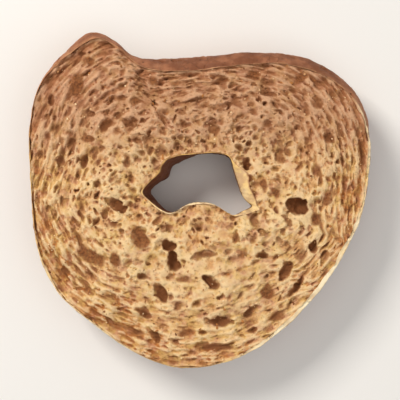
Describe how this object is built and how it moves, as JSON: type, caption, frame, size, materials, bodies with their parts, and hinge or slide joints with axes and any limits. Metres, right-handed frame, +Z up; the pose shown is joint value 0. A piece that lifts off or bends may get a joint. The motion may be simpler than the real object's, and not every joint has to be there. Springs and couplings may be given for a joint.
{
  "type": "crisp bread ring half",
  "caption": "Half of a twice-baked wholemeal bread ring, torn porous cut face up, flat baked base, rounded crust and an uneven hole through the middle.",
  "frame": {"origin": "middle of the ring's box, on the surface that its baked base rests on", "axes": "+Z up out of the cut face, +Y towards the dent where the dough rope's ends meet, +X to the right of it seen from above"},
  "size_m": [0.1106, 0.1086, 0.0251],
  "materials": {
    "toasted_bread": "dry and matt: toasted wholemeal crumb on the cut face, browner baked crust round the sides and under the base"
  },
  "bodies": {
    "root": {"bread_ring": "toasted_bread"}
  },
  "joints": []
}
